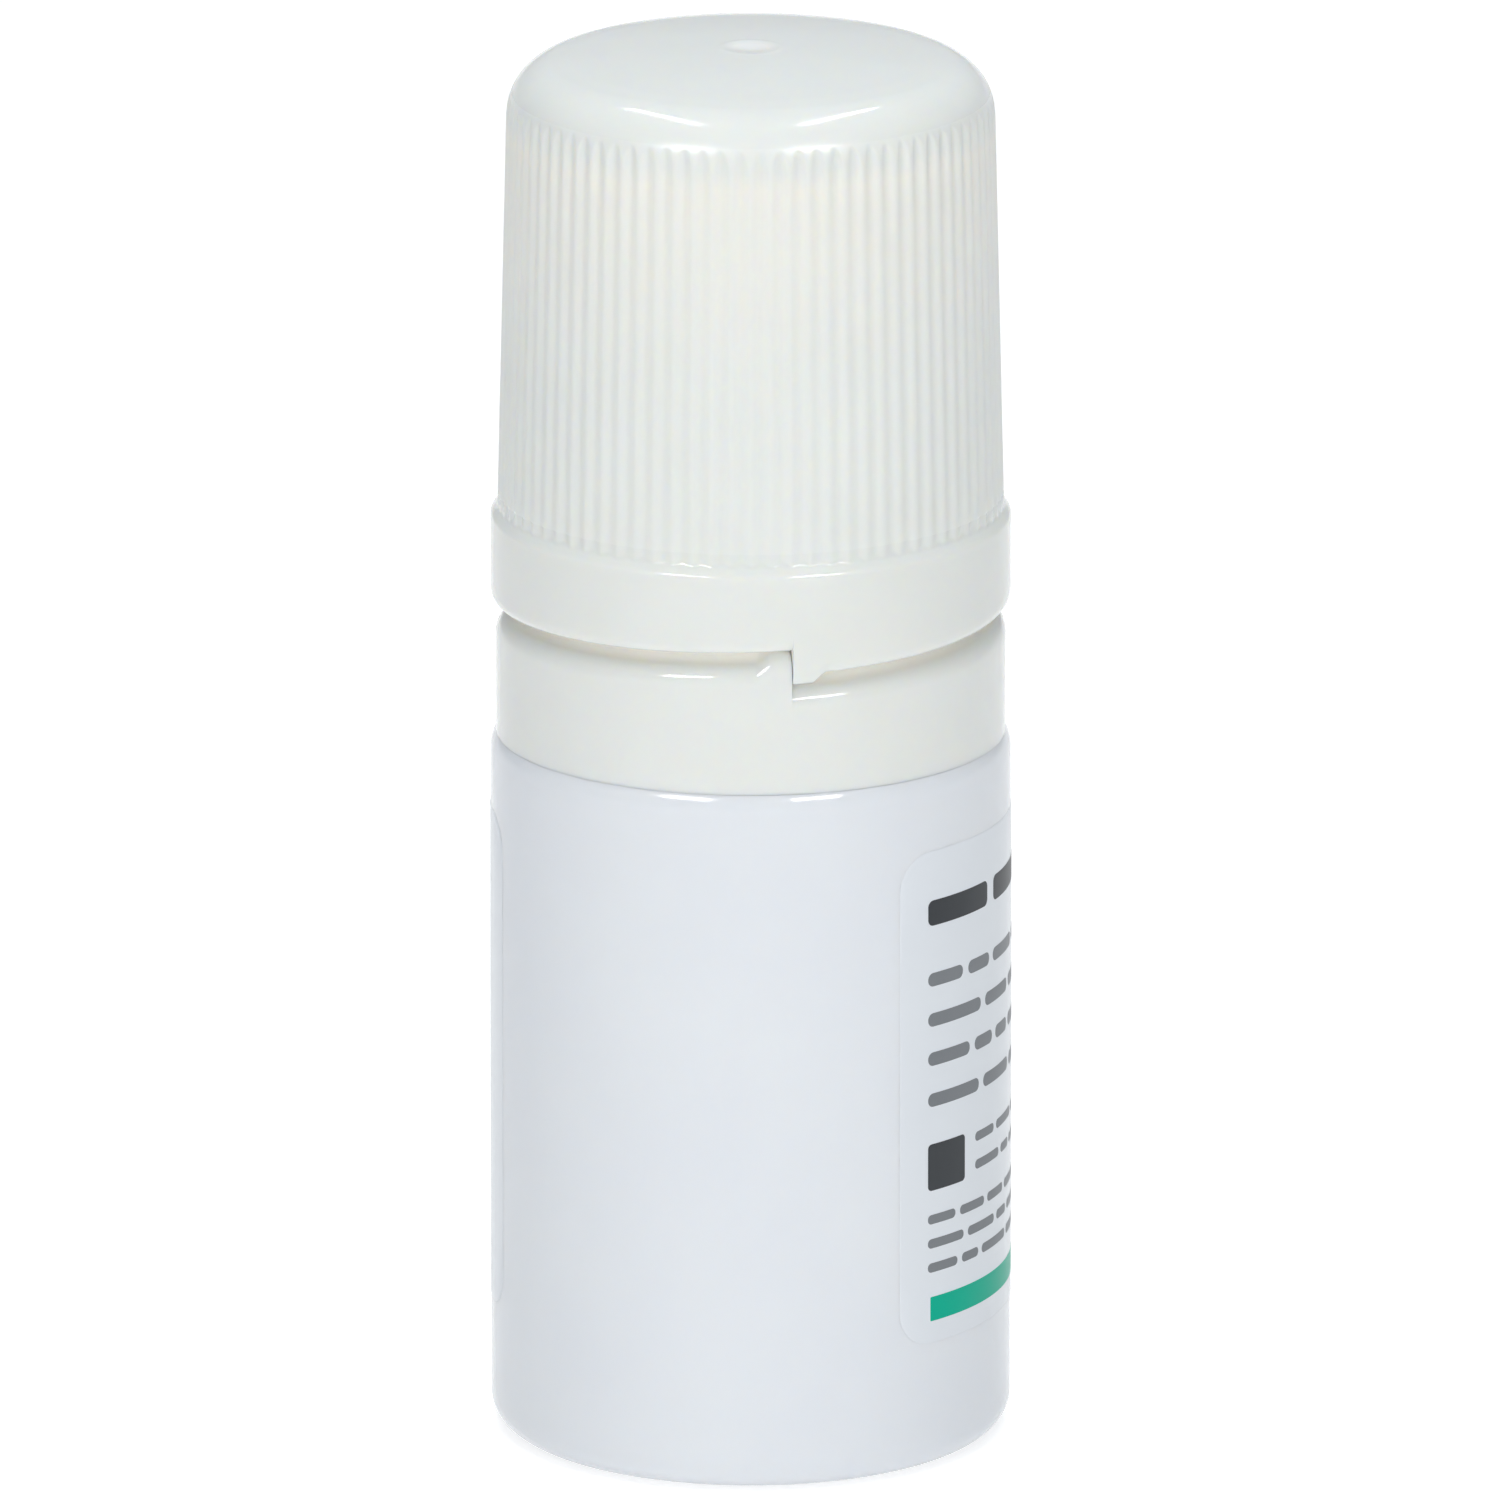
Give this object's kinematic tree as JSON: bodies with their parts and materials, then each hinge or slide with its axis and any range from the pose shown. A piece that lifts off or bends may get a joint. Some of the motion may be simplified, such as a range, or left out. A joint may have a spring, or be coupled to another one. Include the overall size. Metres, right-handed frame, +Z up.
{
  "type": "eye drop bottle",
  "caption": "Small white cylindrical eye drop bottle with a pressed-on collar, a filtered dropper and a tall ribbed domed screw cap.",
  "frame": {"origin": "centre of the base, on the surface that the bottle stands on", "axes": "+Z up along the bottle's axis; -Y is the front, the gap between the label's ends as the picture shows it; +X is to the viewer's right"},
  "size_m": [0.0272, 0.0271, 0.0735],
  "materials": {
    "bottle_plastic": "smooth blown low-density polyethylene, satin",
    "label_film": "glossy white printed film",
    "closure_plastic": "moulded high-density polyethylene, ivory, semi-gloss",
    "insert_plastic": "moulded polyethylene, natural white",
    "pad_foam": "porous sintered polyethylene",
    "membrane_film": "thin white filter film",
    "dropper_plastic": "moulded low-density polyethylene, smooth",
    "seal_elastomer": "soft pale grey elastomer"
  },
  "bodies": {
    "container": {"bottle": "bottle_plastic", "label": "label_film", "collar": "closure_plastic", "filter_housing": "insert_plastic", "porous_pad": "pad_foam", "filter_membrane": "membrane_film", "dropper_tip": "dropper_plastic"},
    "seal_plug": {"tip_seal": "seal_elastomer"},
    "screw_cap": {"cap": "closure_plastic"}
  },
  "joints": [
    {"name": "cap_rise", "type": "slide", "parent": "container", "child": "seal_plug", "axis": [0, 0, 1], "range_m": [0, 0.0221]},
    {"name": "cap_turn", "type": "hinge", "parent": "seal_plug", "child": "screw_cap", "pos_m": [0, 0, 0.055], "axis": [0, 0, 1], "range_deg": [0, 1890]}
  ],
  "couplings": [
    {"joint": "cap_rise", "follows": "cap_turn", "m_per_rad": 0.00066845}
  ]
}
